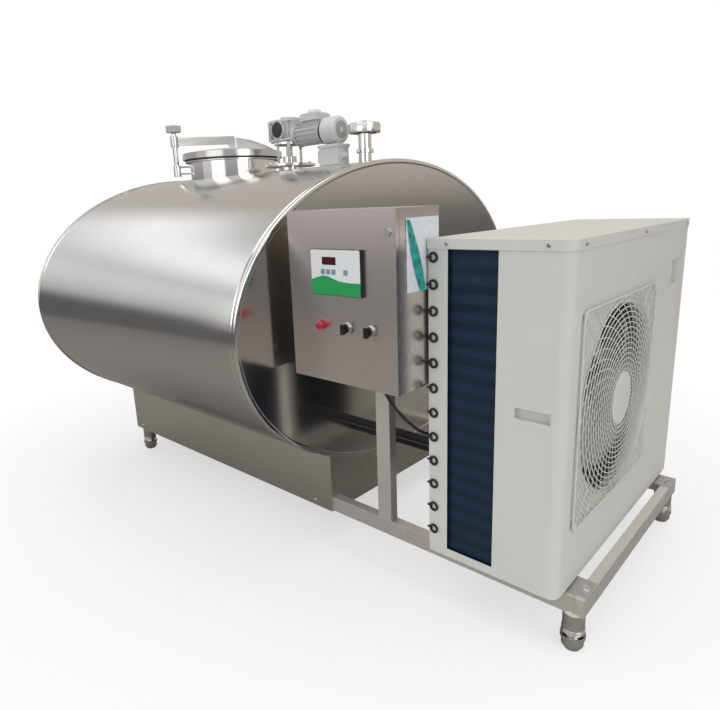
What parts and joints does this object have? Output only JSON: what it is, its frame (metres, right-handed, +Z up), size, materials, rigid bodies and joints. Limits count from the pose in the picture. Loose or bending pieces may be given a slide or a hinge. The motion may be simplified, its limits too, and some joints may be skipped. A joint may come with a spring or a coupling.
{
  "type": "bulk milk tank",
  "caption": "Insulated oval stainless milk tank on a levelling frame, with a swing lid, a geared agitator, a control box and an air-cooled condensing unit.",
  "frame": {"origin": "middle of the whole footprint at floor level", "axes": "+X from the outlet end to the condensing unit, +Z up, control box on the -Y side"},
  "size_m": [2.535, 1.697, 1.6243],
  "materials": {
    "shell": "brushed along its length, satin",
    "end_sheet": "smooth rolled, cold satin",
    "polished": "mirror polished stainless steel",
    "vessel": "food-grade smooth",
    "foam": "rigid polyurethane foam",
    "stainless": "satin",
    "frame_steel": "rolled tube, welded, dull satin",
    "skirt_sheet": "folded sheet, satin",
    "gasket": "matt",
    "knob": "moulded, fine grain",
    "gear_cast": "pressure cast, light grey paint",
    "motor_cast": "cast, light grey paint",
    "cowl_paint": "light grey-green, satin",
    "fan_plastic": "moulded",
    "box_steel": "brushed, satin",
    "controller_case": "moulded, matt",
    "lamp": "clear crimson lens",
    "bezel": "bright plated",
    "switch_black": "moulded, low gloss",
    "unit_paint": "off-white powder coat",
    "coil": "hydrophilic blue-black fins",
    "wire_black": "black dipped wire",
    "guard_wire": "off-white dipped wire",
    "blade": "moulded grey",
    "motor_black": "black, satin",
    "pipe_wrap": "closed-cell sleeve, matt",
    "galvanised": "galvanised sheet",
    "bolt": "stainless, bright",
    "cable": "smooth sheath"
  },
  "bodies": {
    "root": {"outer_shell": "shell", "end_plates": "end_sheet", "end_rims": "polished", "insulation": "foam", "inner_vessel": "vessel", "evaporator_plate": "vessel", "manhole_neck": "polished", "lid_gasket": "gasket", "agitator_pedestal": "polished", "gearbox": "gear_cast", "motor_body": "motor_cast", "fan_cowl": "cowl_paint", "terminal_box": "cowl_paint", "junction_box": "cowl_paint", "vent_pipe": "polished", "vent_cap": "polished", "outlet_pipe": "polished", "valve_body": "polished", "base_rails": "frame_steel", "cross_members": "frame_steel", "tank_saddles": "frame_steel", "skirts": "skirt_sheet", "leg_sockets": "polished", "box_post": "frame_steel", "control_box": "box_steel", "door_hinges": "bolt", "mounting_plate": "galvanised", "unit_base": "unit_paint", "unit_panels": "unit_paint", "fan_panel": "unit_paint", "top_cover": "unit_paint", "condenser_coil": "coil", "coil_guard": "wire_black", "fan_guard": "guard_wire", "fan_motor": "motor_black", "compressor": "motor_black", "refrigerant_pipes": "pipe_wrap", "unit_channels": "galvanised", "fasteners": "bolt", "unit_cable": "cable"},
    "lid_lifter": {"lid_post": "polished"},
    "knob": {"hand_knob": "knob"},
    "lid": {"manhole_lid": "stainless", "lid_arm": "stainless"},
    "agitator": {"agitator": "vessel"},
    "motor_rotor": {"motor_fan": "fan_plastic"},
    "unit_fan": {"condenser_fan": "blade"},
    "door": {"box_door": "box_steel", "controller": "controller_case", "pilot_lamp": "lamp", "selector_bezels": "bezel"},
    "left_switch": {"left_selector": "switch_black"},
    "right_switch": {"right_selector": "switch_black"},
    "lock": {"door_lock": "bezel"},
    "outlet_valve": {"valve_disc": "polished", "valve_handle": "knob"},
    "foot_1": {"left_outlet_foot": "polished"},
    "foot_2": {"right_outlet_foot": "polished"},
    "foot_3": {"left_unit_foot": "polished"},
    "foot_4": {"right_unit_foot": "polished"}
  },
  "joints": [
    {"name": "lid_lift", "type": "slide", "parent": "root", "child": "lid_lifter", "axis": [0, 0, 1], "range_m": [0, 0.024]},
    {"name": "knob_turn", "type": "hinge", "parent": "lid_lifter", "child": "knob", "pos_m": [-0.84496, -0.21434, 1.585], "axis": [0, 0, 1], "range_deg": [0, 1440]},
    {"name": "lid_swing", "type": "hinge", "parent": "lid_lifter", "child": "lid", "pos_m": [-0.84496, -0.21434, 1.55], "axis": [0, 0, 1], "range_deg": [0, 125]},
    {"name": "agitator_spin", "type": "hinge", "parent": "root", "child": "agitator", "pos_m": [-0.2695, 0, 1.503], "axis": [0, 0, 1], "continuous": true},
    {"name": "motor_spin", "type": "hinge", "parent": "root", "child": "motor_rotor", "pos_m": [-0.1965, 0, 1.525], "axis": [1, 0, 0], "continuous": true},
    {"name": "fan_spin", "type": "hinge", "parent": "root", "child": "unit_fan", "pos_m": [1.1375, -0.15317, 0.656], "axis": [1, 0, 0], "continuous": true},
    {"name": "door_swing", "type": "hinge", "parent": "root", "child": "door", "pos_m": [0.4085, -0.6495, 0.965], "axis": [0, 0, -1], "range_deg": [0, 95]},
    {"name": "left_switch_turn", "type": "hinge", "parent": "door", "child": "left_switch", "pos_m": [0.6295, -0.655, 0.886], "axis": [0, 1, 0], "range_deg": [-45, 45]},
    {"name": "right_switch_turn", "type": "hinge", "parent": "door", "child": "right_switch", "pos_m": [0.7155, -0.655, 0.886], "axis": [0, 1, 0], "range_deg": [-45, 45]},
    {"name": "lock_turn", "type": "hinge", "parent": "door", "child": "lock", "pos_m": [0.7835, -0.655, 1.155], "axis": [0, -1, 0], "range_deg": [0, 90]},
    {"name": "valve_turn", "type": "hinge", "parent": "root", "child": "outlet_valve", "pos_m": [-1.1995, 0, 0.344], "axis": [0, 0, 1], "range_deg": [0, 90]},
    {"name": "foot_1_screw", "type": "slide", "parent": "root", "child": "foot_1", "axis": [0, 0, -1], "range_m": [0, 0.025]},
    {"name": "foot_2_screw", "type": "slide", "parent": "root", "child": "foot_2", "axis": [0, 0, -1], "range_m": [0, 0.025]},
    {"name": "foot_3_screw", "type": "slide", "parent": "root", "child": "foot_3", "axis": [0, 0, -1], "range_m": [0, 0.025]},
    {"name": "foot_4_screw", "type": "slide", "parent": "root", "child": "foot_4", "axis": [0, 0, -1], "range_m": [0, 0.025]}
  ],
  "couplings": [
    {"joint": "knob_turn", "follows": "lid_lift", "rad_per_m": 1047.2},
    {"joint": "motor_spin", "follows": "agitator_spin", "ratio": 40}
  ]
}
